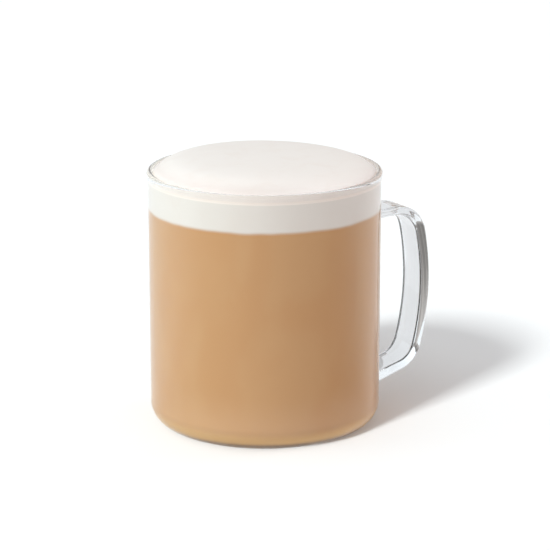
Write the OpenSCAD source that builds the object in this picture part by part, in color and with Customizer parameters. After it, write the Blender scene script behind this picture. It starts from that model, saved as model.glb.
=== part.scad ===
// A glass mug of milky spiced tea under a cap of frothed milk that domes above the rim.
// The origin is the centre of the flat base. Z points up and the handle is on +X.

/* [Mug] */
// Outer diameter of the cylinder, below the rim bead
mug_d = 86; // [70:1:110]
// Height from the table to the crest of the rim
mug_h = 96; // [70:1:140]
// Thickness of the wall
wall_t = 2; // [1.6:0.1:4]
// Thickness of the base
base_t = 3; // [2:0.5:8]
// Radius of the outer corner between wall and base
corner_r = 7.5; // [6:0.5:14]
// How far the fire-polished bead around the rim stands proud of the outer wall
rim_proud = 0.45; // [0.2:0.05:0.8]

/* [Handle] */
// How far the grip stands out from the mug's wall
handle_out = 26.5; // [22:0.5:34]
// Width of the strap, across the mug
handle_w = 13.2; // [9:0.2:18]
// Thickness of the upper arm where it leaves the wall
handle_top_t = 3.8; // [2.6:0.1:6]
// Thickness of the upper arm where it turns down
handle_bend_t = 3.2; // [2.6:0.1:6]
// Thickness of the upright grip
handle_grip_t = 4.4; // [2.6:0.1:6]
// Thickness of the lower arm
handle_foot_t = 4.1; // [2.6:0.1:6]
// Middle of the upper arm at the wall, below the rim's crest
handle_below_rim = 22; // [12:0.5:30]
// Middle of the lower arm at the wall, above the rounded bottom corner
handle_above_corner = 0.9; // [0.5:0.1:8]
// Rise of the upper arm, in degrees
handle_top_rise = 2.5; // [-6:0.5:6]
// Rise of the lower arm, in degrees
handle_foot_rise = 17; // [0:0.5:22]
// Bend radius of the upper corner
handle_top_bend = 11; // [6:0.5:14]
// Bend radius of the lower corner
handle_foot_bend = 11; // [6:0.5:14]
// Radius of the bowed grip
handle_bow_r = 97; // [70:1:140]
// Furthest point of the bow, above the middle of the two arms
handle_bow_lift = 4.5; // [-4:0.5:8]
// Rounding of the strap's edges
handle_edge_r = 1.2; // [0.5:0.1:1.3]
// Fillet that spreads the strap where it is fused to the wall
handle_fillet_r = 2; // [1:0.1:2.5]

/* [Drink] */
// Height of the tea's surface, under the froth, below the rim's crest
tea_below_rim = 14; // [8:0.5:40]
// Where the froth leaves the wall, below the rim's crest
froth_below_rim = 3; // [2.5:0.1:8]
// How far the froth's crown stands above the rim's crest
froth_above_rim = 5.5; // [2:0.1:10]
// Fullness of the dome: 2 is an ellipse, higher is flatter on top with a steeper shoulder
froth_fullness = 2.8; // [2:0.1:4.5]
// Height of the uneven swells on the froth
froth_swell = 0.4; // [0:0.05:0.6]

/* [Hidden] */
$fn = 96;

mug_r = mug_d / 2;
bore_r = mug_r - wall_t;
bore_corner_r = corner_r - wall_t;
// The bead is flush with the bore inside.
rim_r = (wall_t + rim_proud) / 2;
rim_centre_r = bore_r + rim_r;
tea_z = mug_h - tea_below_rim;
froth_z = mug_h - froth_below_rim;
froth_rise = froth_below_rim + froth_above_rim;

// The strap starts and ends in the middle of the wall.
root_r = mug_r - wall_t / 2;
hug_length = 3 * handle_fillet_r;
top_start = [root_r, mug_h - handle_below_rim];
foot_start = [root_r, corner_r + handle_above_corner];
bow_centre = [
    mug_r + handle_out - handle_grip_t / 2 - handle_bow_r,
    (top_start[1] + foot_start[1]) / 2 + handle_bow_lift
];
arm_steps = 9;
bend_steps = 9;
grip_steps = 12;
edge_steps = 4;

froth_sectors = 96;
froth_rings = 14;

// ---- glass ----

// Half of an upright tumbler outline with one rounded bottom corner.
module rounded_half(radius, corner, low, high) {
    translate([0, low]) square([radius - corner, high - low]);
    translate([0, low + corner]) square([radius, high - low - corner]);
    translate([radius - corner, low + corner]) circle(r = corner);
}

module wall_section() {
    rim_centre_z = mug_h - rim_r;
    difference() {
        rounded_half(mug_r, corner_r, 0, rim_centre_z);
        rounded_half(bore_r, bore_corner_r, base_t, mug_h);
    }
    translate([rim_centre_r, rim_centre_z]) circle(r = rim_r);
}

// ---- handle ----
// Its middle line, in the plane y = 0, is an upper arm, a bend, the bowed grip, a bend and a lower arm.
// Every stretch is tangent to the next.

function along(angle) = [cos(angle), sin(angle)];

// Centre of a bend that is tangent to the arm through start at the given angle, and to the grip inside
// its bow. The side is 1 if the bend's centre lies to the left of the arm.
function bend_centre(start, angle, side, bend) =
    let (
        offset = start + side * bend * along(angle + 90) - bow_centre,
        ahead = offset * along(angle),
        reach = handle_bow_r - bend
    )
    bow_centre + offset + (sqrt(ahead * ahead - offset * offset + reach * reach) - ahead) * along(angle);

function bearing(from, to) = atan2(to[1] - from[1], to[0] - from[0]);

top_centre = bend_centre(top_start, handle_top_rise, -1, handle_top_bend);
foot_centre = bend_centre(foot_start, handle_foot_rise, 1, handle_foot_bend);
top_turn = bearing(bow_centre, top_centre);
foot_turn = bearing(bow_centre, foot_centre);

// A station is [middle point, half the strap's thickness as an outward vector].
function arc_station(centre, radius, angle, thickness) =
    [centre + radius * along(angle), thickness / 2 * along(angle)];

// At the wall an arm's end is upright, whatever its slope.
function arm_start(start, slope, up, thickness) = [start, [0, up * thickness / 2 / cos(slope)]];

function between(a, b, share) = a + (b - a) * share;

// The stations crowd towards the wall, where the fillet is.
function arm_stations(start, end) =
    [for (i = [0 : arm_steps - 1]) between(start, end, pow(i / arm_steps, 1.5))];

function arc_stations(centre, radius, angles, thicknesses, steps) =
    [for (i = [0 : steps])
        arc_station(centre, radius, between(angles[0], angles[1], i / steps),
            between(thicknesses[0], thicknesses[1], i / steps))];

top_bend = arc_stations(top_centre, handle_top_bend, [90 + handle_top_rise, top_turn],
    [handle_bend_t, handle_grip_t], bend_steps);
grip = arc_stations(bow_centre, handle_bow_r, [top_turn, foot_turn],
    [handle_grip_t, handle_grip_t], grip_steps);
foot_bend = arc_stations(foot_centre, handle_foot_bend, [foot_turn, handle_foot_rise - 90],
    [handle_grip_t, handle_foot_t], bend_steps);
top_arm = arm_stations(arm_start(top_start, handle_top_rise, 1, handle_top_t), top_bend[0]);
foot_arm = arm_stations(arm_start(foot_start, handle_foot_rise, -1, handle_foot_t), foot_bend[bend_steps]);
reversed_foot_arm = [for (i = [arm_steps - 1 : -1 : 0]) foot_arm[i]];

// Each arc leaves out its first station, which the stretch before it ends on.
function after_first(list) = [for (i = [1 : len(list) - 1]) list[i]];

stations = concat(top_arm, top_bend, after_first(grip), after_first(foot_bend), reversed_foot_arm);

// How far a point at this distance across the strap moves in to follow the round wall. The shift dies
// away over hug_length.
function hug(x, y) =
    let (share = max(0, 1 - (x - root_r) / hug_length))
    share * share * (3 - 2 * share) * (root_r - sqrt(root_r * root_r - y * y));

// Spread of the strap by a quarter-round fillet, at a distance from the wall's face.
function spread(distance) =
    let (gap = min(max(distance, 0), handle_fillet_r), left = handle_fillet_r - gap)
    handle_fillet_r - sqrt(handle_fillet_r * handle_fillet_r - left * left);

// A rounded oblong of half sizes a and b, four corners of edge_steps + 1 points each.
function oblong(a, b) =
    [for (quarter = [0 : 3], step = [0 : edge_steps])
        let (angle = 90 * (quarter + step / edge_steps), corner = 45 + 90 * quarter)
        [sign(cos(corner)) * (a - handle_edge_r) + handle_edge_r * cos(angle),
         sign(sin(corner)) * (b - handle_edge_r) + handle_edge_r * sin(angle)]];

function strap_ring(station) =
    let (
        middle = station[0],
        half = norm(station[1]),
        out = station[1] / half,
        extra = spread(middle[0] - mug_r)
    )
    [for (p = oblong(half + extra, handle_w / 2 + extra))
        let (x = middle[0] + p[0] * out[0])
        [x - hug(x, p[1]), p[1], middle[1] + p[0] * out[1]]];

module strap() {
    ring = 4 * (edge_steps + 1);
    last = len(stations) - 1;
    polyhedron(
        points = [for (s = stations) each strap_ring(s)],
        faces = concat(
            [[for (i = [ring - 1 : -1 : 0]) i]],
            [[for (i = [0 : ring - 1]) last * ring + i]],
            [for (s = [0 : last - 1], i = [0 : ring - 1])
                let (a = s * ring + i, b = s * ring + (i + 1) % ring)
                each [[a, b, b + ring], [a, b + ring, a + ring]]]
        ),
        convexity = 4
    );
}

module glass_mug() {
    color([0.86, 0.90, 0.92, 0.35]) {
        union() {
            rotate_extrude() wall_section();
            strap();
        }
    }
}

// ---- drink ----

// The tea fills the bore from the base to its surface.
module chai() {
    color([0.79, 0.62, 0.44]) {
        rotate_extrude() rounded_half(bore_r, bore_corner_r, base_t, tea_z);
    }
}

// Slow swells over the crown, which die away at the wall.
function swell(radius, angle) =
    let (share = radius / bore_r)
    froth_swell * (1 - pow(share, 6)) * (
        0.80 * share * sin(angle - 60)
        + 0.30 * share * share * sin(2 * angle - 70)
        + 0.25 * share * sin(3 * angle + 200 * share)
        + 0.20 * cos(300 * share + 40)
    );

// Over the froth's height the dome is a superellipse: radius and rise both follow its fullness.
function froth_ring(step) =
    let (
        turn = 90 * (1 - step / froth_rings),
        radius = bore_r * pow(sin(turn), 2 / froth_fullness),
        rise = froth_rise * pow(cos(turn), 2 / froth_fullness)
    )
    [for (i = [0 : froth_sectors - 1])
        let (angle = 360 * i / froth_sectors)
        [radius * cos(angle), radius * sin(angle), froth_z + rise + swell(radius, angle)]];

module milk_foam() {
    n = froth_sectors;
    floor_ring = [for (i = [0 : n - 1]) let (angle = 360 * i / n)
        [bore_r * cos(angle), bore_r * sin(angle), tea_z]];
    rings = concat([floor_ring], [for (k = [0 : froth_rings - 1]) froth_ring(k)]);
    crown = len(rings) * n;
    color([0.97, 0.94, 0.91]) {
        polyhedron(
            points = concat([for (r = rings) each r], [[0, 0, froth_z + froth_rise + swell(0, 0)]]),
            faces = concat(
                [[for (i = [0 : n - 1]) i]],
                [for (k = [0 : len(rings) - 2], i = [0 : n - 1])
                    let (a = k * n + i, b = k * n + (i + 1) % n)
                    each [[a, b + n, b], [a, a + n, b + n]]],
                [for (i = [0 : n - 1]) [crown - n + i, crown, crown - n + (i + 1) % n]]
            ),
            convexity = 2
        );
    }
}

glass_mug();
chai();
milk_foam();
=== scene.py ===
"""Milky spiced tea in a clear glass mug, under a cap of frothed milk that domes above the rim.

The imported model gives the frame: the mug stands on its flat base at the origin, Z is up and the
handle points along +X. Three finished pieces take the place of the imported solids: the glass with its
handle, the tea, and the froth. All lengths are in metres.
"""

import logging
from dataclasses import dataclass, field
from enum import Enum
from typing import Any, Sequence

import bpy
import numpy as np
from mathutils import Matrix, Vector


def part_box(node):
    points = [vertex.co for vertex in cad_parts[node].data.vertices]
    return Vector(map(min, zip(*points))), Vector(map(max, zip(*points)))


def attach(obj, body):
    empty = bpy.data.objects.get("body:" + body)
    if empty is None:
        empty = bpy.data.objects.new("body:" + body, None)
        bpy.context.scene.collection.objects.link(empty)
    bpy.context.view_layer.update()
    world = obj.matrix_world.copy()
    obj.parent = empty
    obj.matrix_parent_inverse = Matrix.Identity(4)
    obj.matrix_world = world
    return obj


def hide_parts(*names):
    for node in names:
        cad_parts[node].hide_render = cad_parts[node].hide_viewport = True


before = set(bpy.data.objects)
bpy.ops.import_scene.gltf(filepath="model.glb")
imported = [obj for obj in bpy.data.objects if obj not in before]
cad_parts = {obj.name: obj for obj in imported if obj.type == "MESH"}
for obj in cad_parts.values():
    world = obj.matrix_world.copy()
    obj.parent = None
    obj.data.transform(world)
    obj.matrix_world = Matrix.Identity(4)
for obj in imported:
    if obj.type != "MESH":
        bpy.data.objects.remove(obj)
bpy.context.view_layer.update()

BODY = "root"
MM = 0.001
HUB = 1.0 * MM  # radius of the last ring round a pole
Array = np.ndarray
Colour = tuple[float, float, float]
Span = tuple[float, float]

log = logging.getLogger("masala_chai")


# ---------------------------------------------------------------------------------------------
# Shader graphs
# ---------------------------------------------------------------------------------------------


class Blend(Enum):
    """How one colour is laid over another."""

    MIX = "MIX"
    MULTIPLY = "MULTIPLY"


@dataclass(frozen=True)
class Value:
    """A number socket that takes part in Python expressions; each operator adds a Math node."""

    graph: "Graph"
    socket: bpy.types.NodeSocket

    def __add__(self, other: "Value | float") -> "Value":
        """Sum of this and another value."""
        return self.graph.maths("ADD", self, other)

    def __radd__(self, other: float) -> "Value":
        """Sum with a number on the left."""
        return self.graph.maths("ADD", other, self)

    def __sub__(self, other: "Value | float") -> "Value":
        """Difference of this and another value."""
        return self.graph.maths("SUBTRACT", self, other)

    def __rsub__(self, other: float) -> "Value":
        """Difference from a number on the left."""
        return self.graph.maths("SUBTRACT", other, self)

    def __mul__(self, other: "Value | float") -> "Value":
        """Product of this and another value."""
        return self.graph.maths("MULTIPLY", self, other)

    def __rmul__(self, other: float) -> "Value":
        """Product with a number on the left."""
        return self.graph.maths("MULTIPLY", other, self)

    def step(self, low: float, high: float) -> "Value":
        """Smooth rise from 0 to 1.

        Args:
            low: The value at which it starts.
            high: The value at which it ends.

        Returns:
            The rise.
        """
        settings = {"interpolation_type": "SMOOTHSTEP"}
        inputs = {"Value": self, "From Min": low, "From Max": high}
        return self.graph.value("ShaderNodeMapRange", settings, inputs, "Result")

    def larger(self, other: "Value | float") -> "Value":
        """The larger of this and another value."""
        return self.graph.maths("MAXIMUM", self, other)


class Graph:
    """Builds the nodes of one material or world."""

    def __init__(self, owner: bpy.types.Material | bpy.types.World) -> None:
        """Clears the owner's node tree and gives it an output node.

        Args:
            owner: The material or world whose nodes are built.
        """
        owner.use_nodes = True
        self.tree = owner.node_tree
        self.tree.nodes.clear()
        kind = "ShaderNodeOutputWorld" if isinstance(owner, bpy.types.World) else "ShaderNodeOutputMaterial"
        self.output = self.tree.nodes.new(kind)

    def node(
        self,
        kind: str,
        settings: dict[str, Any] | None = None,
        inputs: dict[str | int, Any] | None = None,
    ) -> bpy.types.Node:
        """Adds one node.

        Args:
            kind: The node's type.
            settings: Its properties, which are set first.
            inputs: A value, a Value or a socket for each named or numbered input.

        Returns:
            The new node.
        """
        made = self.tree.nodes.new(kind)
        for name, setting in (settings or {}).items():
            setattr(made, name, setting)
        for name, given in (inputs or {}).items():
            source = given.socket if isinstance(given, Value) else given
            if isinstance(source, bpy.types.NodeSocket):
                self.tree.links.new(source, made.inputs[name])
            elif isinstance(source, tuple) and made.inputs[name].type == "RGBA":
                made.inputs[name].default_value = (*source, 1.0)
            else:
                made.inputs[name].default_value = source
        return made

    def value(
        self,
        kind: str,
        settings: dict[str, Any] | None = None,
        inputs: dict[str | int, Any] | None = None,
        output: str | int = 0,
    ) -> Value:
        """Adds one node and returns one of its outputs.

        Args:
            kind: The node's type.
            settings: Its properties.
            inputs: Its inputs.
            output: The name or number of the wanted output.

        Returns:
            That output as a value.
        """
        return Value(self, self.node(kind, settings, inputs).outputs[output])

    def maths(self, operation: str, *terms: "Value | float") -> Value:
        """Adds a Math node.

        Args:
            operation: The node's operation.
            terms: Its inputs.

        Returns:
            The node's result.
        """
        return self.value("ShaderNodeMath", {"operation": operation}, dict(enumerate(terms)))

    def colour(self, first: Any, second: Any, share: Any, blend: Blend = Blend.MIX) -> bpy.types.NodeSocket:
        """Lays one colour over another.

        Args:
            first: The colour below.
            second: The colour on top.
            share: How much of the second shows.
            blend: How it is laid on.

        Returns:
            The mixed colour's socket.
        """
        settings = {"data_type": "RGBA", "blend_type": blend.value}
        mix = self.node("ShaderNodeMix", settings, {"Factor": share})
        for name, given in (("A", first), ("B", second)):
            socket = next(s for s in mix.inputs if s.name == name and s.type == "RGBA")
            if isinstance(given, tuple):
                socket.default_value = (*given, 1.0)
            else:
                self.tree.links.new(given, socket)
        return next(s for s in mix.outputs if s.type == "RGBA")

    def place(self) -> bpy.types.NodeSocket:
        """The point on the piece, in object coordinates."""
        return self.node("ShaderNodeTexCoord").outputs["Object"]

    def stretched(self, scale: Sequence[float]) -> bpy.types.NodeSocket:
        """The point on the piece with its axes scaled.

        Args:
            scale: The factor for each axis.

        Returns:
            The scaled point's socket.
        """
        mapping = self.node("ShaderNodeMapping", {}, {"Vector": self.place(), "Scale": tuple(scale)})
        return mapping.outputs[0]

    def along(self, axis: str) -> Value:
        """One coordinate of the point on the piece."""
        return self.value("ShaderNodeSeparateXYZ", {}, {"Vector": self.place()}, axis)

    def noise(self, size: float, detail: float = 3.0, roughness: float = 0.5, warp: float = 0.0,
              scale: Sequence[float] = (1.0, 1.0, 1.0)) -> Value:
        """Soft noise over the piece.

        Args:
            size: The width of its patches, in metres.
            detail: How many finer layers it holds.
            roughness: How strong the finer layers are.
            warp: How much it is distorted.
            scale: Extra stretch of each axis.

        Returns:
            The noise, around one half.
        """
        inputs = {
            "Vector": self.stretched(scale),
            "Scale": 1.0 / size,
            "Detail": detail,
            "Roughness": roughness,
            "Distortion": warp,
        }
        return self.value("ShaderNodeTexNoise", {}, inputs, "Fac")

    def dot(self, first: Any, second: Any) -> Value:
        """Dot product of two vectors."""
        inputs = {0: first, 1: second}
        return self.value("ShaderNodeVectorMath", {"operation": "DOT_PRODUCT"}, inputs, "Value")

    def bumped(self, height: Value, depth: float) -> bpy.types.NodeSocket:
        """A normal pressed in by a height.

        Args:
            height: The relief, from 0 to 1.
            depth: The depth of that relief, in metres.

        Returns:
            The normal's socket.
        """
        inputs = {"Height": height, "Distance": depth, "Strength": 1.0}
        return self.node("ShaderNodeBump", {}, inputs).outputs["Normal"]

    def finish(self, shader: bpy.types.NodeSocket) -> None:
        """Links a shader to the output."""
        self.tree.links.new(shader, self.output.inputs["Surface"])


# ---------------------------------------------------------------------------------------------
# Finishes
# ---------------------------------------------------------------------------------------------


@dataclass(frozen=True)
class ClearGlass:
    """Clear, fire-polished glass that lets lamps through to what it holds."""

    tint: Colour = (0.90, 0.925, 0.95)
    shade: Colour = (0.97, 0.975, 0.98)
    ior: float = 1.5
    ripple_size: float = 14 * MM
    ripple_depth: float = 0.015 * MM

    def material(self) -> bpy.types.Material:
        """Builds the material.

        Returns:
            Glass for what is seen, and a faint tint for rays from lamps and from soft surfaces.
        """
        made = bpy.data.materials.new("clear_glass")
        graph = Graph(made)
        ripple = graph.bumped(graph.noise(self.ripple_size, detail=1.0), self.ripple_depth)
        glass = graph.node("ShaderNodeBsdfPrincipled", {}, {
            "Base Color": self.tint,
            "Roughness": 0.0,
            "IOR": self.ior,
            "Transmission Weight": 1.0,
            "Normal": ripple,
        })
        clear = graph.node("ShaderNodeBsdfTransparent", {}, {"Color": self.shade})
        path = graph.node("ShaderNodeLightPath")
        lamp = Value(graph, path.outputs["Is Shadow Ray"])
        soft = Value(graph, path.outputs["Is Diffuse Ray"])
        mix = graph.node("ShaderNodeMixShader", {}, {
            0: lamp.larger(soft), 1: glass.outputs[0], 2: clear.outputs[0],
        })
        graph.finish(mix.outputs[0])
        return made


@dataclass(frozen=True)
class DrinkColours:
    """The colours of the tea and the froth, several of them painted light and shade, and the heights at
    which they change.

    The spans of the painted light round the foot and of the painted contact shadow are measured from the
    table. The spans of the painted highlight and shades by the rim are measured from the contact, where the
    froth leaves the wall.
    """

    line: float
    contact: float
    tea: Colour = (0.412, 0.240, 0.118)
    tea_deep: Colour = (0.402, 0.226, 0.108)
    # Painted light: a paler tea for a band round the foot, standing for light that the thick glass base
    # gathers there.
    tea_foot_light: Colour = (0.58, 0.36, 0.155)
    # Painted shadow: a dark tea for the contact shadow beneath the drink.
    tea_contact_shadow: Colour = (0.26, 0.15, 0.07)
    froth: Colour = (0.742, 0.712, 0.69)
    froth_warm: Colour = (0.725, 0.68, 0.65)
    # Painted shade for the froth's side, seen through the glass.
    froth_side_shade: Colour = (0.745, 0.725, 0.685)
    # Painted shade for the band of froth just above the contact, where the dome curves down to the wall.
    froth_band_shade: Colour = (0.84, 0.775, 0.715)
    # Painted highlight: a paler line along the contact.
    froth_contact_highlight: Colour = (0.92, 0.86, 0.80)
    # Painted shade on the dome's shoulder: faint here, heavier in the next colour, for the side that the
    # key lamp lights.
    froth_shoulder_shade: Colour = (0.97, 0.98, 0.99)
    froth_lit_shoulder_shade: Colour = (0.80, 0.765, 0.76)
    drift_size: float = 22 * MM
    drift_span: Span = (0.35, 0.65)
    patch_size: float = 9 * MM
    patch_span: Span = (0.45, 0.75)
    patch_share: float = 0.7
    # Span of the painted contact shadow beneath.
    contact_shadow_fade: Span = (2.9 * MM, 3.3 * MM)
    # Painted light round the foot: where it rises and where it fades.
    foot_rise: Span = (2.9 * MM, 4.0 * MM)
    foot_light_fade: Span = (3.4 * MM, 7.6 * MM)
    # Span of the painted highlight along the contact.
    contact_highlight_rise: Span = (-0.9 * MM, -0.3 * MM)
    # Span over which the painted band shade takes over.
    band_shade_rise: Span = (-0.5 * MM, 0.1 * MM)
    # Span over which the painted shade near the glass fades.
    near_glass_fade: Span = (1.8 * MM, 2.8 * MM)
    # Spans of the painted shoulder shade: its fade above the contact, and the side across which it
    # lightens.
    shoulder_shade_fade: Span = (3.4 * MM, 6.6 * MM)
    side_span: Span = (-30 * MM, 4 * MM)
    softness: float = 0.9 * MM
    wander: float = 1.2 * MM
    wander_size: float = 16 * MM

    def tea_colour(self, graph: Graph) -> bpy.types.NodeSocket:
        """Tea with slow cloudy drifts of milk, with painted light round its foot and a painted contact
        shadow beneath.

        Args:
            graph: The graph that the nodes go into.

        Returns:
            The colour.
        """
        drift = graph.noise(self.drift_size, detail=2.0, warp=0.8, scale=(1.0, 1.0, 0.6))
        height = graph.along("Z")
        # Painted light in a band round the foot.
        foot = height.step(*self.foot_rise) * (1.0 - height.step(*self.foot_light_fade))
        # Painted contact shadow beneath the tea.
        contact_shadow_share = 1.0 - height.step(*self.contact_shadow_fade)
        brew = graph.colour(self.tea, self.tea_deep, drift.step(*self.drift_span))
        return graph.colour(graph.colour(brew, self.tea_foot_light, foot), self.tea_contact_shadow, contact_shadow_share)

    def froth_colour(self, graph: Graph) -> bpy.types.NodeSocket:
        """Froth with faint warmer patches."""
        patch = graph.noise(self.patch_size, detail=4.0, roughness=0.6, warp=0.6).step(*self.patch_span)
        return graph.colour(self.froth, self.froth_warm, patch * self.patch_share)

    def past_contact(self, height: Value, span: Span) -> Value:
        """Smooth rise over a span of heights above the contact."""
        return height.step(self.contact + span[0], self.contact + span[1])

    def painted_froth(self, graph: Graph) -> bpy.types.NodeSocket:
        """Froth with painted shade on its side inside the glass and on a band just above the contact, and a
        painted highlight, a paler line, along the contact where it leaves the glass.

        The dome's shoulder has painted shade, heavier on the side away from the handle, which the key lamp
        lights.

        Args:
            graph: The graph that the nodes go into.

        Returns:
            The colour.
        """
        height = graph.along("Z")
        # Painted shade over the froth near the glass: its side and the band just above the contact.
        near_glass_share = 1.0 - self.past_contact(height, self.near_glass_fade)
        # The band just above the contact gets its own painted shade.
        above = self.past_contact(height, self.band_shade_rise)
        # A painted highlight along the contact.
        line = self.past_contact(height, self.contact_highlight_rise) - above
        shade = graph.colour(self.froth_side_shade, self.froth_band_shade, above)
        shade = graph.colour(shade, self.froth_contact_highlight, line)
        # Painted shade on the dome's shoulder, heavier on the lit side away from the handle.
        shoulder_shade_share = 1.0 - self.past_contact(height, self.shoulder_shade_fade)
        side = graph.along("X").step(*self.side_span)
        shoulder_shade_tint = graph.colour(self.froth_lit_shoulder_shade, self.froth_shoulder_shade, side)
        dome = graph.colour(self.froth_colour(graph), shoulder_shade_tint, shoulder_shade_share - near_glass_share, Blend.MULTIPLY)
        return graph.colour(dome, shade, near_glass_share, Blend.MULTIPLY)

    def at_line(self, graph: Graph) -> bpy.types.NodeSocket:
        """Tea below the line and froth above it.

        Args:
            graph: The graph that the nodes go into.

        Returns:
            The colour, blended across a line that wanders a little.
        """
        wave = graph.noise(self.wander_size, detail=2.0, scale=(1.0, 1.0, 0.2)) - 0.5
        height = graph.along("Z") + wave * self.wander
        share = height.step(self.line - self.softness, self.line + self.softness)
        return graph.colour(self.tea_colour(graph), self.painted_froth(graph), share)


@dataclass(frozen=True)
class MilkTea:
    """Opaque milky tea, wetting the glass, so that it has no surface gloss of its own."""

    colours: DrinkColours
    roughness: float = 0.6
    gloss: float = 0.0

    def material(self) -> bpy.types.Material:
        """Builds the material.

        Returns:
            Matt, cloudy tea that turns to froth at the line.
        """
        made = bpy.data.materials.new("milk_tea")
        graph = Graph(made)
        shader = graph.node("ShaderNodeBsdfPrincipled", {}, {
            "Base Color": self.colours.at_line(graph),
            "Roughness": self.roughness,
            "Specular IOR Level": self.gloss,
        })
        graph.finish(shader.outputs[0])
        return made


@dataclass(frozen=True)
class MilkFroth:
    """Dense frothed milk with a fine grain of bubbles."""

    colours: DrinkColours
    grain: float = 0.7 * MM
    clumps: float = 5 * MM
    grain_depth: float = 0.04 * MM
    roughness: float = 0.55
    gloss: float = 0.25

    def material(self) -> bpy.types.Material:
        """Builds the material.

        Returns:
            Soft froth whose relief is half fine bubbles and half broader clumps.
        """
        made = bpy.data.materials.new("milk_froth")
        graph = Graph(made)
        fine = graph.noise(self.grain, detail=2.0)
        broad = graph.noise(self.clumps, detail=2.0)
        normal = graph.bumped(fine * 0.5 + broad * 0.5, self.grain_depth)
        shader = graph.node("ShaderNodeBsdfPrincipled", {}, {
            "Base Color": self.colours.at_line(graph),
            "Roughness": self.roughness,
            "Specular IOR Level": self.gloss,
            "Normal": normal,
        })
        graph.finish(shader.outputs[0])
        return made


# ---------------------------------------------------------------------------------------------
# Surfaces
# ---------------------------------------------------------------------------------------------


def smooth(share: Array) -> Array:
    """Smooth step: 3 s squared less 2 s cubed, with s held between 0 and 1."""
    held = np.clip(share, 0.0, 1.0)
    return held * held * (3.0 - 2.0 * held)


def arc(centre: Sequence[float], radius: float, start: float, end: float, count: int) -> Array:
    """Points on an arc: the centre plus the radius times (cos a, sin a).

    Args:
        centre: The arc's centre.
        radius: Its radius.
        start: The first angle, in degrees.
        end: The last angle, in degrees.
        count: How many points it has.

    Returns:
        An array of count points.
    """
    angle = np.radians(np.linspace(start, end, count))
    return np.asarray(centre) + radius * np.stack([np.cos(angle), np.sin(angle)], -1)


def straight(start: Sequence[float], end: Sequence[float], count: int) -> Array:
    """Evenly spaced points from start to end."""
    return np.linspace(start, end, count)


def joined(*stretches: Array) -> Array:
    """Stretches laid end to end, each but the last without its final point."""
    return np.concatenate([s[:-1] for s in stretches[:-1]] + [stretches[-1]])


def pinned(start: Sequence[float], end: Sequence[float], count: int, margin: float = 0.02 * MM) -> Array:
    """Evenly spaced points from start to end, with one more close to each end.

    The close pair keeps smooth shading flat right up to a sharp corner.

    Args:
        start: The first point.
        end: The last point.
        count: How many evenly spaced points there are.
        margin: How far the close points lie from the ends.

    Returns:
        The points.
    """
    first, last = np.asarray(start), np.asarray(end)
    nudge = margin * (last - first) / np.linalg.norm(last - first)
    points = np.linspace(first, last, count)
    return np.concatenate([points[:1], [first + nudge], points[1:-1], [last - nudge], points[-1:]])


def turned(profile: Array, sectors: int) -> Array:
    """Rings of a profile turned about Z: (r, z) goes to (r cos t, r sin t, z).

    Args:
        profile: Points of radius and height.
        sectors: How many points each ring has.

    Returns:
        An array of rings by sectors by 3.
    """
    angle = np.linspace(0.0, 2.0 * np.pi, sectors, endpoint=False)
    x = profile[:, :1] * np.cos(angle)
    y = profile[:, :1] * np.sin(angle)
    return np.stack([x, y, np.broadcast_to(profile[:, 1:], x.shape)], -1)


def closed_surface(name: str, rings: Array, start: Array, end: Array) -> bpy.types.Object:
    """A closed surface: rings joined by quads, with a fan from a pole at each end.

    Args:
        name: The piece's name.
        rings: An array of rings by sectors by 3.
        start: The pole before the first ring.
        end: The pole after the last ring.

    Returns:
        The new object, smooth shaded, with its faces outwards.
    """
    count, sectors = rings.shape[:2]
    points = np.concatenate([rings.reshape(-1, 3), [start], [end]])
    index = np.arange(count * sectors).reshape(count, sectors)
    beside = np.roll(index, -1, axis=1)
    quads = np.stack([index[:-1], beside[:-1], beside[1:], index[1:]], -1).reshape(-1, 4)
    first, last = count * sectors, count * sectors + 1
    fan = np.stack([np.full(sectors, first), beside[0], index[0]], -1)
    far_fan = np.stack([np.full(sectors, last), index[-1], beside[-1]], -1)
    triangles = np.concatenate([fan, far_fan])
    a, b, c, d = (points[quads[:, i]] for i in range(4))
    if np.einsum("ij,ij->", a, np.cross(b, c) + np.cross(c, d)) < 0:
        quads, triangles = quads[:, ::-1], triangles[:, ::-1]
    loops = np.concatenate([quads.ravel(), triangles.ravel()])
    sizes = np.concatenate([np.full(len(quads), 4), np.full(len(triangles), 3)])
    mesh = bpy.data.meshes.new(name)
    mesh.vertices.add(len(points))
    mesh.vertices.foreach_set("co", points.ravel())
    mesh.loops.add(len(loops))
    mesh.loops.foreach_set("vertex_index", loops)
    mesh.polygons.add(len(sizes))
    mesh.polygons.foreach_set("loop_start", np.concatenate([[0], np.cumsum(sizes)[:-1]]))
    mesh.polygons.foreach_set("use_smooth", np.ones(len(sizes), bool))
    mesh.update(calc_edges=True)
    mesh.validate()
    piece = bpy.data.objects.new(name, mesh)
    bpy.context.scene.collection.objects.link(piece)
    return piece


def fused(first: bpy.types.Object, second: bpy.types.Object) -> None:
    """Fuses the second piece into the first, and removes the second.

    Args:
        first: The piece that stays, with the union as its mesh.
        second: The piece that is fused into it.
    """
    union = first.modifiers.new("fuse", "BOOLEAN")
    union.operation = "UNION"
    union.solver = "EXACT"
    union.object = second
    graph = bpy.context.evaluated_depsgraph_get()
    mesh = bpy.data.meshes.new_from_object(first.evaluated_get(graph))
    first.modifiers.clear()
    first.data = mesh
    mesh.polygons.foreach_set("use_smooth", np.ones(len(mesh.polygons), bool))
    bpy.data.objects.remove(second)


def dress(piece: bpy.types.Object, material: bpy.types.Material, node: str) -> None:
    """Gives a finished piece its material and its place in the frame.

    Args:
        piece: The finished piece.
        material: Its material.
        node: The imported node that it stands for.
    """
    piece.data.materials.clear()
    piece.data.materials.append(material)
    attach(piece, BODY)
    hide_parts(node)
    log.info("%s: %d faces, stands for %s", piece.name, len(piece.data.polygons), node)


# ---------------------------------------------------------------------------------------------
# The mug
# ---------------------------------------------------------------------------------------------


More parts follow.
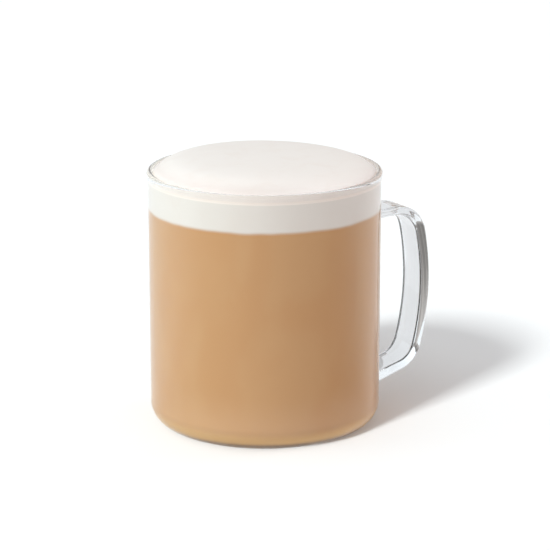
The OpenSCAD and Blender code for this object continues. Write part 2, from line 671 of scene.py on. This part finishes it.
@dataclass
class MugBody:
    """The straight-sided wall, the base and the rim bead, as one turned outline."""

    height: float
    bead_radius: float
    bore: float
    base: float
    wall: float = 2.0 * MM
    corner: float = 7.5 * MM
    bead_zone: float = 4.5 * MM
    sectors: int = 576
    disc_points: int = 5
    wall_points: int = 9
    corner_points: int = 20
    swell_points: int = 16
    bead_points: int = 24
    inner_corner_points: int = 16

    @property
    def radius(self) -> float:
        """Outer radius of the wall."""
        return self.bore + self.wall

    def outline(self) -> Array:
        """The section from the middle of the underside, round the rim, to the middle of the floor.

        The corners are quarter arcs. Near the rim the outer face swells by a smooth step, and the
        crest is a half circle that is flush with the bore.

        Returns:
            Points of radius and height.
        """
        inner_corner = self.corner - self.wall
        crest = (self.bead_radius - self.bore) / 2
        crest_z = self.height - crest
        swell_z = np.linspace(self.height - self.bead_zone, crest_z, self.swell_points)
        rise = smooth((swell_z - swell_z[0]) / (crest_z - swell_z[0]))
        swell = np.stack([self.radius + (self.bead_radius - self.radius) * rise, swell_z], -1)
        inner = (self.bore - inner_corner, self.base + inner_corner)
        return joined(
            pinned((HUB, 0.0), (self.radius - self.corner, 0.0), self.disc_points),
            arc((self.radius - self.corner, self.corner), self.corner, -90, 0, self.corner_points),
            pinned((self.radius, self.corner), swell[0], self.wall_points),
            swell,
            arc((self.bead_radius - crest, crest_z), crest, 0, 180, self.bead_points),
            pinned((self.bore, crest_z), (self.bore, inner[1]), self.wall_points),
            arc(inner, inner_corner, 0, -90, self.inner_corner_points),
            pinned((inner[0], self.base), (HUB, self.base), self.disc_points),
        )

    def build(self) -> bpy.types.Object:
        """Turns the outline about the mug's axis."""
        rings = turned(self.outline(), self.sectors)
        return closed_surface("glass_mug_clear", rings, np.zeros(3), np.array([0.0, 0.0, self.base]))


@dataclass
class StrapHandle:
    """A flat strap bent into a D: an arm, a bend, a bowed grip, a bend and a lower arm.

    Towards the wall the arms' stations crowd, as a share to the power of the crowding. Over a length of
    hug_fillets times the fillet, the rings take up the wall's curve.
    """

    body: MugBody
    reach: float
    width: float = 13.2 * MM
    top_thickness: float = 3.8 * MM
    bend_thickness: float = 3.2 * MM
    grip_thickness: float = 4.4 * MM
    foot_thickness: float = 4.1 * MM
    below_rim: float = 22.0 * MM
    above_corner: float = 0.9 * MM
    top_rise: float = 2.5
    foot_rise: float = 17.0
    bend: float = 11.0 * MM
    bow: float = 97.0 * MM
    bow_lift: float = 4.5 * MM
    edge: float = 1.2 * MM
    fillet: float = 2.0 * MM
    hug_fillets: float = 3.0
    crowding: float = 1.6
    arm_steps: int = 26
    bend_steps: int = 28
    grip_steps: int = 50
    edge_steps: int = 9

    @property
    def root(self) -> float:
        """Radius at which the arms end, in the middle of the wall."""
        return self.body.radius - self.body.wall / 2

    @staticmethod
    def along(angle: float) -> Array:
        """Unit vector at an angle in degrees."""
        return np.array([np.cos(np.radians(angle)), np.sin(np.radians(angle))])

    def bend_centre(self, start: Array, angle: float, side: int, bow_centre: Array) -> Array:
        """Centre of a bend that touches both an arm and, from inside, the grip's bow.

        It lies on the line beside the arm at the bend's radius, where its distance from the bow's
        centre is the bow's radius less the bend's.

        Args:
            start: Where the arm starts.
            angle: The arm's slope, in degrees.
            side: 1 if the centre lies to the left of the arm, or -1.
            bow_centre: The centre of the bow.

        Returns:
            The centre.
        """
        offset = start + side * self.bend * self.along(angle + 90) - bow_centre
        ahead = offset @ self.along(angle)
        reach = self.bow - self.bend
        run = np.sqrt(ahead**2 - offset @ offset + reach**2) - ahead
        return bow_centre + offset + run * self.along(angle)

    def stations(self) -> tuple[Array, Array]:
        """The strap's middle line and its half thickness as an outward vector, in the plane y = 0.

        Returns:
            The middle points and the vectors.
        """
        top = np.array([self.root, self.body.height - self.below_rim])
        foot = np.array([self.root, self.body.corner + self.above_corner])
        bow_x = self.reach - self.grip_thickness / 2 - self.bow
        bow_centre = np.array([bow_x, (top[1] + foot[1]) / 2 + self.bow_lift])
        top_centre = self.bend_centre(top, self.top_rise, -1, bow_centre)
        foot_centre = self.bend_centre(foot, self.foot_rise, 1, bow_centre)
        top_turn = np.degrees(np.arctan2(*(top_centre - bow_centre)[::-1]))
        foot_turn = np.degrees(np.arctan2(*(foot_centre - bow_centre)[::-1]))
        middles, halves = [], []
        for centre, radius, turn, thickness, steps in (
            (top_centre, self.bend, (90 + self.top_rise, top_turn),
             (self.bend_thickness, self.grip_thickness), self.bend_steps),
            (bow_centre, self.bow, (top_turn, foot_turn),
             (self.grip_thickness, self.grip_thickness), self.grip_steps),
            (foot_centre, self.bend, (foot_turn, self.foot_rise - 90),
             (self.grip_thickness, self.foot_thickness), self.bend_steps),
        ):
            way = arc((0.0, 0.0), 1.0, turn[0], turn[1], steps + 1)
            share = smooth(np.linspace(0.0, 1.0, steps + 1))[:, None]
            middles.append(centre + radius * way)
            halves.append(way * (thickness[0] + (thickness[1] - thickness[0]) * share) / 2)
        share = np.linspace(0.0, 1.0, self.arm_steps + 1)[:, None] ** self.crowding
        top_half = np.array([0.0, self.top_thickness / 2 / np.cos(np.radians(self.top_rise))])
        foot_half = np.array([0.0, -self.foot_thickness / 2 / np.cos(np.radians(self.foot_rise))])
        top_arm = top + (middles[0][0] - top) * share
        top_arm_half = top_half + (halves[0][0] - top_half) * share
        foot_arm = foot + (middles[2][-1] - foot) * share[::-1]
        foot_arm_half = foot_half + (halves[2][-1] - foot_half) * share[::-1]
        return joined(top_arm, *middles, foot_arm), joined(top_arm_half, *halves, foot_arm_half)

    def section(self, half: Array, extra: Array) -> tuple[Array, Array]:
        """A rounded oblong at each station, spread by the fillet.

        Args:
            half: Half the thickness at each station.
            extra: The fillet's spread at each station.

        Returns:
            The distance of each point from the middle, outwards and across the strap.
        """
        quarter = np.repeat(np.arange(4), self.edge_steps + 1)
        turn = np.radians(90.0) * (quarter + np.tile(np.linspace(0.0, 1.0, self.edge_steps + 1), 4))
        outward, across = np.array([1, -1, -1, 1])[quarter], np.array([1, 1, -1, -1])[quarter]
        a = (half + extra)[:, None] - self.edge
        b = (self.width / 2 + extra)[:, None] - self.edge
        return outward * a + self.edge * np.cos(turn), across * b + self.edge * np.sin(turn)

    def build(self) -> bpy.types.Object:
        """Carries the section along the middle line.

        By the wall each ring follows the wall's curve, and a quarter-round fillet spreads it: at a
        distance d from the face the spread is f less the root of f squared less (f - d) squared.

        Returns:
            The strap, which ends inside the wall.
        """
        middles, vectors = self.stations()
        half = np.linalg.norm(vectors, axis=1)
        out = vectors / half[:, None]
        left = self.fillet - np.clip(middles[:, 0] - self.body.radius, 0.0, self.fillet)
        extra = self.fillet - np.sqrt(self.fillet**2 - left**2)
        outward, across = self.section(half, extra)
        x = middles[:, :1] + outward * out[:, :1]
        z = middles[:, 1:] + outward * out[:, 1:]
        hug = smooth(1.0 - (x - self.root) / (self.hug_fillets * self.fillet))
        x = x - hug * (self.root - np.sqrt(self.root**2 - across**2))
        rings = np.stack([x, across, z], -1)
        start, end = rings[0].mean(axis=0), rings[-1].mean(axis=0)
        return closed_surface("strap_handle", rings, start, end)


@dataclass
class GlassMug:
    """The one-piece glass mug."""

    body: MugBody
    handle: StrapHandle
    finish: ClearGlass = field(default_factory=ClearGlass)

    def build(self) -> bpy.types.Object:
        """Fuses the handle to the body and dresses the whole.

        Returns:
            The finished mug.
        """
        piece = self.body.build()
        fused(piece, self.handle.build())
        dress(piece, self.finish.material(), "glass_mug")
        return piece


# ---------------------------------------------------------------------------------------------
# The drink
# ---------------------------------------------------------------------------------------------


@dataclass
class Tea:
    """The tea, from the mug's floor up to the froth. It reaches just into the glass."""

    body: MugBody
    top: float
    colours: DrinkColours
    overlap: float = 0.2 * MM
    sectors: int = 192
    disc_points: int = 10
    corner_points: int = 14
    side_points: int = 40

    def build(self) -> bpy.types.Object:
        """Turns the bore's outline, grown by the overlap.

        Returns:
            The finished tea.
        """
        radius, floor = self.body.bore + self.overlap, self.body.base - self.overlap
        corner = self.body.corner - self.body.wall + self.overlap
        outline = joined(
            straight((HUB, floor), (radius - corner, floor), self.disc_points),
            arc((radius - corner, floor + corner), corner, -90, 0, self.corner_points),
            pinned((radius, floor + corner), (radius, self.top), self.side_points),
            pinned((radius, self.top), (HUB, self.top), self.disc_points),
        )
        start, end = np.array([0.0, 0.0, floor]), np.array([0.0, 0.0, self.top])
        piece = closed_surface("milky_tea", turned(outline, self.sectors), start, end)
        dress(piece, MilkTea(self.colours).material(), "chai")
        return piece


@dataclass
class Froth:
    """The cap of froth: a straight side in the glass, and an uneven dome above it.

    The crown is the dome's middle before its swells, and the contact is where the dome starts.
    """

    body: MugBody
    bottom: float
    colours: DrinkColours
    crown: float = 101.5 * MM
    below_rim: float = 3.0 * MM
    fullness: float = 2.8
    swell: float = 0.4 * MM
    overlap: float = 0.2 * MM
    sectors: int = 256
    disc_points: int = 10
    side_rings: int = 12
    dome_rings: int = 110

    def swells(self, share: Array, angle: Array) -> Array:
        """Slow waves over the crown: a tilt, a saddle, a three-lobed swirl and a ripple about the
        middle, all dying away at the wall.

        Args:
            share: Distance from the axis as a share of the bore.
            angle: Bearing, in radians.

        Returns:
            The height that they add.
        """
        tilt = 0.80 * share * np.sin(angle - np.radians(60))
        saddle = 0.30 * share**2 * np.sin(2 * angle - np.radians(70))
        swirl = 0.25 * share * np.sin(3 * angle + np.radians(200) * share)
        ripple = 0.20 * np.cos(np.radians(300) * share + np.radians(40))
        return self.swell * (1 - share**6) * (tilt + saddle + swirl + ripple)

    def build(self) -> bpy.types.Object:
        """Builds the side and the dome.

        The dome is a superellipse turned about the axis: with n the fullness and t from 90 to 0
        degrees, the radius is the bore's times sin t to the power 2 / n, and the rise is the full
        rise times cos t to the power 2 / n.

        Returns:
            The finished froth.
        """
        angle = np.linspace(0.0, 2.0 * np.pi, self.sectors, endpoint=False)
        contact = self.body.height - self.below_rim
        full_rise = self.crown - contact
        grown = self.body.bore + self.overlap
        side = turned(joined(
            pinned((HUB, self.bottom), (grown, self.bottom), self.disc_points),
            pinned((grown, self.bottom), (grown, contact), self.side_rings),
        ), self.sectors)
        turn = np.linspace(np.pi / 2, 0.0, self.dome_rings, endpoint=False)[1:, None]
        radius = self.body.bore * np.sin(turn) ** (2 / self.fullness)
        rise = full_rise * np.cos(turn) ** (2 / self.fullness)
        height = contact + rise + self.swells(radius / self.body.bore, angle)
        dome = np.stack([radius * np.cos(angle), radius * np.sin(angle), height], -1)
        top = contact + full_rise + self.swells(np.zeros(1), np.zeros(1))[0]
        start, end = np.array([0.0, 0.0, self.bottom]), np.array([0.0, 0.0, top])
        piece = closed_surface("milk_froth_cap", np.concatenate([side, dome]), start, end)
        dress(piece, MilkFroth(self.colours).material(), "milk_foam")
        return piece


# ---------------------------------------------------------------------------------------------
# The studio
# ---------------------------------------------------------------------------------------------


def around(azimuth: float, elevation: float) -> Vector:
    """Unit vector towards a bearing. Azimuth 0 is -Y and 90 is +X.

    Args:
        azimuth: The bearing, in degrees.
        elevation: The height above the horizon, in degrees.

    Returns:
        The vector.
    """
    a, e = np.radians(azimuth), np.radians(elevation)
    return Vector((np.sin(a) * np.cos(e), -np.cos(a) * np.cos(e), np.sin(e)))


@dataclass
class SoftBox:
    """A rectangular soft light that faces the mug. Neither gloss nor glass shows it."""

    name: str
    azimuth: float
    elevation: float
    width: float
    height: float
    power: float
    colour: Colour = (1.0, 1.0, 1.0)
    distance: float = 20.0
    target: Vector = field(default_factory=lambda: Vector((0.0, 0.0, 0.05)))

    def build(self) -> bpy.types.Object:
        """Hangs the light.

        Returns:
            The light's object.
        """
        lamp = bpy.data.lights.new(self.name, "AREA")
        lamp.shape = "RECTANGLE"
        lamp.size, lamp.size_y = self.width, self.height
        lamp.energy = self.power
        lamp.color = self.colour
        light = bpy.data.objects.new(self.name, lamp)
        way = around(self.azimuth, self.elevation)
        light.location = self.target + way * self.distance
        light.rotation_euler = way.to_track_quat("Z", "Y").to_euler()
        bpy.context.scene.collection.objects.link(light)
        light.visible_glossy = light.visible_transmission = False
        return light


@dataclass
class Card:
    """A glowing card that only glass shows, to draw the edges of the handle. Its sizes are in mm."""

    name: str
    centre: Sequence[float]
    across: Sequence[float]
    up: Sequence[float]
    grey: float
    streak: float = 0.0
    warmth: Colour = (1.0, 1.0, 1.0)
    streak_width: float = 3.5 * MM
    streak_span: Span = (0.42, 0.58)
    streak_share: float = 0.45
    foot_span: Span = (20 * MM, 28 * MM)
    foot_share: float = 0.55

    def material(self) -> bpy.types.Material:
        """Builds an even grey, or one with soft upright streaks and a paler foot.

        Returns:
            The card's paint.
        """
        paint = bpy.data.materials.new(self.name)
        graph = Graph(paint)
        wave = graph.noise(self.streak_width, detail=1.0, scale=(1.0, 1.0, 0.06)).step(*self.streak_span)
        foot = 1.0 - graph.along("Z").step(*self.foot_span)
        dark = tuple(self.grey * c for c in self.warmth)
        pale = tuple((self.grey + self.streak) * c for c in self.warmth)
        grey = graph.colour(dark, pale, wave * self.streak_share + foot * self.foot_share)
        shader = graph.node("ShaderNodeEmission", {}, {"Color": grey, "Strength": 1.0})
        graph.finish(shader.outputs[0])
        return paint

    def build(self) -> None:
        """Sets the card up, unseen by all but rays that have passed through glass."""
        mesh = bpy.data.meshes.new(self.name)
        signs = ((-1, -1), (1, -1), (1, 1), (-1, 1))
        centre, across, up = (Vector(way) * MM for way in (self.centre, self.across, self.up))
        corners = [centre + (a * across + b * up) / 2 for a, b in signs]
        mesh.from_pydata(corners, [], [(0, 1, 2, 3)])
        mesh.materials.append(self.material())
        piece = bpy.data.objects.new(self.name, mesh)
        bpy.context.scene.collection.objects.link(piece)
        piece.visible_camera = piece.visible_diffuse = False
        piece.visible_glossy = piece.visible_shadow = False


@dataclass
class Studio:
    """A pale floor, soft lights and the camera.

    White reflections would wash the tea out, so gloss sees the floor dimmed on the side of dim_azimuth,
    and a slightly darker room. Glass sees a room that is bright all over, which keeps its faces clear.
    """

    azimuth: float = -30.0
    elevation: float = 15.51
    distance: float = 880.5 * MM
    lens: float = 154.8
    sensor: float = 36.0
    target: Vector = field(default_factory=lambda: Vector((3.30, -1.905, 55.40)) * MM)
    floor_size: float = 12.0
    floor_colour: Colour = (0.870, 0.895, 0.918)
    floor_mirrored: Colour = (0.12, 0.12, 0.12)
    dim_azimuth: float = -22.0
    dim_span: Span = (-0.3, 0.7)
    dim_reach: Span = (60 * MM, 110 * MM)
    sky: float = 0.475
    horizon: float = 0.98
    horizon_span: Span = (0.15, 0.6)
    sky_mirrored: float = 0.18
    sky_through_glass: float = 0.93
    sky_tilt: float = 0.45
    sky_cool: Colour = (0.965, 1.0, 1.02)
    sky_warm: Colour = (1.0, 0.90, 0.84)
    sky_span: Span = (-0.8, 0.4)
    sky_azimuth: float = -120.0
    bounces: int = 24
    glass_bounces: int = 20

    @staticmethod
    def rays(graph: Graph) -> tuple[Value, Value]:
        """Tells the rays apart.

        Args:
            graph: The graph that the nodes go into.

        Returns:
            1 for a ray that has passed through glass, and 1 for one that a gloss has mirrored.
        """
        path = graph.node("ShaderNodeLightPath")
        passed = Value(graph, path.outputs["Is Transmission Ray"])
        return passed, Value(graph, path.outputs["Is Glossy Ray"]) * (1.0 - passed)

    def floor(self) -> None:
        """Lays the floor."""
        half = self.floor_size / 2
        mesh = bpy.data.meshes.new("floor")
        corners = [(-half, -half, 0.0), (half, -half, 0.0), (half, half, 0.0), (-half, half, 0.0)]
        mesh.from_pydata(corners, [], [(0, 1, 2, 3)])
        piece = bpy.data.objects.new("floor", mesh)
        bpy.context.scene.collection.objects.link(piece)
        paint = bpy.data.materials.new("floor_paper")
        graph = Graph(paint)
        mirrored = self.rays(graph)[1]
        place = graph.place()
        bearing = graph.node("ShaderNodeVectorMath", {"operation": "NORMALIZE"}, {0: place}).outputs[0]
        facing = graph.dot(bearing, tuple(around(self.dim_azimuth, 0.0)))
        away = graph.value("ShaderNodeVectorMath", {"operation": "LENGTH"}, {0: place}, "Value")
        dim = mirrored * facing.step(*self.dim_span) * away.step(*self.dim_reach)
        colour = graph.colour(self.floor_colour, self.floor_mirrored, dim)
        shader = graph.node("ShaderNodeBsdfDiffuse", {}, {"Color": colour})
        graph.finish(shader.outputs[0])
        mesh.materials.append(paint)

    def surroundings(self) -> None:
        """Paints the room: paler towards the horizon, and cooler and brighter on one side."""
        world = bpy.data.worlds.new("studio")
        bpy.context.scene.world = world
        graph = Graph(world)
        way = graph.node("ShaderNodeTexCoord").outputs["Generated"]
        leaning = graph.dot(way, tuple(around(self.sky_azimuth, 0.0)))
        height = graph.value("ShaderNodeSeparateXYZ", {}, {"Vector": way}, "Z")
        passed, mirrored = self.rays(graph)
        glow = (1.0 - height.step(*self.horizon_span)) * (self.horizon - self.sky) + self.sky
        glow = glow.larger(passed * self.sky_through_glass)
        tilt = (1.0 - mirrored) * leaning * self.sky_tilt + 1.0 - mirrored * self.sky_mirrored
        shader = graph.node("ShaderNodeBackground", {}, {
            "Color": graph.colour(self.sky_warm, self.sky_cool, leaning.step(*self.sky_span)),
            "Strength": tilt * glow,
        })
        graph.finish(shader.outputs[0])

    def lights(self) -> None:
        """Hangs the lights.

        The key throws the shadow, and a weak light above it lifts the dome. Low lights on the left and
        behind the handle shape the tea's two sides, and a faint red one warms its shaded front.
        """
        for light in (
            SoftBox("key", azimuth=-67.5, elevation=40.3, width=2.4, height=3.6, power=3130.0,
                    colour=(0.985, 1.015, 0.995)),
            SoftBox("top", azimuth=-64.5, elevation=60.0, width=5.0, height=6.0, power=300.0),
            SoftBox("side", azimuth=-115.0, elevation=4.0, width=7.5, height=2.4, power=1270.0,
                    colour=(0.90, 1.0, 0.95)),
            SoftBox("back", azimuth=84.0, elevation=8.0, width=8.0, height=4.0, power=2000.0),
            SoftBox("fill", azimuth=20.0, elevation=9.0, width=10.0, height=5.0, power=330.0,
                    colour=(1.0, 0.2, 0.1)),
        ):
            light.build()

    def cards(self) -> None:
        """Sets up the cards: dark ones behind and beside the handle, and pale ones just over the floor."""
        for card in (
            Card("edge_card", centre=(33, 66, 26.5), across=(52, 30, 0), up=(0, 0, 13), grey=0.19,
                 streak=0.42, warmth=(1.08, 1.01, 0.95)),
            Card("far_edge_card", centre=(84, -25, 40), across=(17, 10, 0), up=(0, 0, 80), grey=0.03),
            # The two pale cards glow just over the floor, so that glass shows it evenly pale there, with no
            # shadow.
            Card("veil_card", centre=(160, 44, 1), across=(180, 0, 0), up=(0, 150, 0), grey=0.83),
            Card("far_veil_card", centre=(370, 419, 1), across=(600, 0, 0), up=(0, 600, 0), grey=0.88),
        ):
            card.build()

    def camera(self) -> None:
        """Sets up the camera."""
        lens = bpy.data.cameras.new("camera")
        lens.lens = self.lens
        lens.sensor_width = self.sensor
        camera = bpy.data.objects.new("camera", lens)
        way = around(self.azimuth, self.elevation)
        camera.location = self.target + way * self.distance
        camera.rotation_euler = way.to_track_quat("Z", "Y").to_euler()
        bpy.context.scene.collection.objects.link(camera)
        bpy.context.scene.camera = camera

    def build(self) -> None:
        """Sets up the whole studio, with light paths long enough for glass behind glass."""
        self.camera()
        self.floor()
        self.surroundings()
        self.lights()
        self.cards()
        scene = bpy.context.scene
        scene.view_settings.view_transform = "Standard"
        scene.cycles.max_bounces = self.bounces
        scene.cycles.glossy_bounces = scene.cycles.transmission_bounces = self.glass_bounces
        scene.cycles.caustics_reflective = False
        scene.cycles.caustics_refractive = False


def main() -> None:
    """Builds the studio and the drink in its mug."""
    logging.basicConfig(level=logging.INFO, format="%(name)s: %(message)s")
    mug_low, mug_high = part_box("glass_mug")
    tea_low, tea_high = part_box("chai")
    froth_low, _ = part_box("milk_foam")
    body = MugBody(height=mug_high[2], bead_radius=mug_high[1], bore=tea_high[0], base=tea_low[2])
    colours = DrinkColours(line=froth_low[2], contact=mug_high[2] - Froth.below_rim)
    Studio().build()
    GlassMug(body, StrapHandle(body, reach=mug_high[0])).build()
    Tea(body, tea_high[2], colours).build()
    Froth(body, froth_low[2], colours).build()


if __name__ == "__main__":
    main()
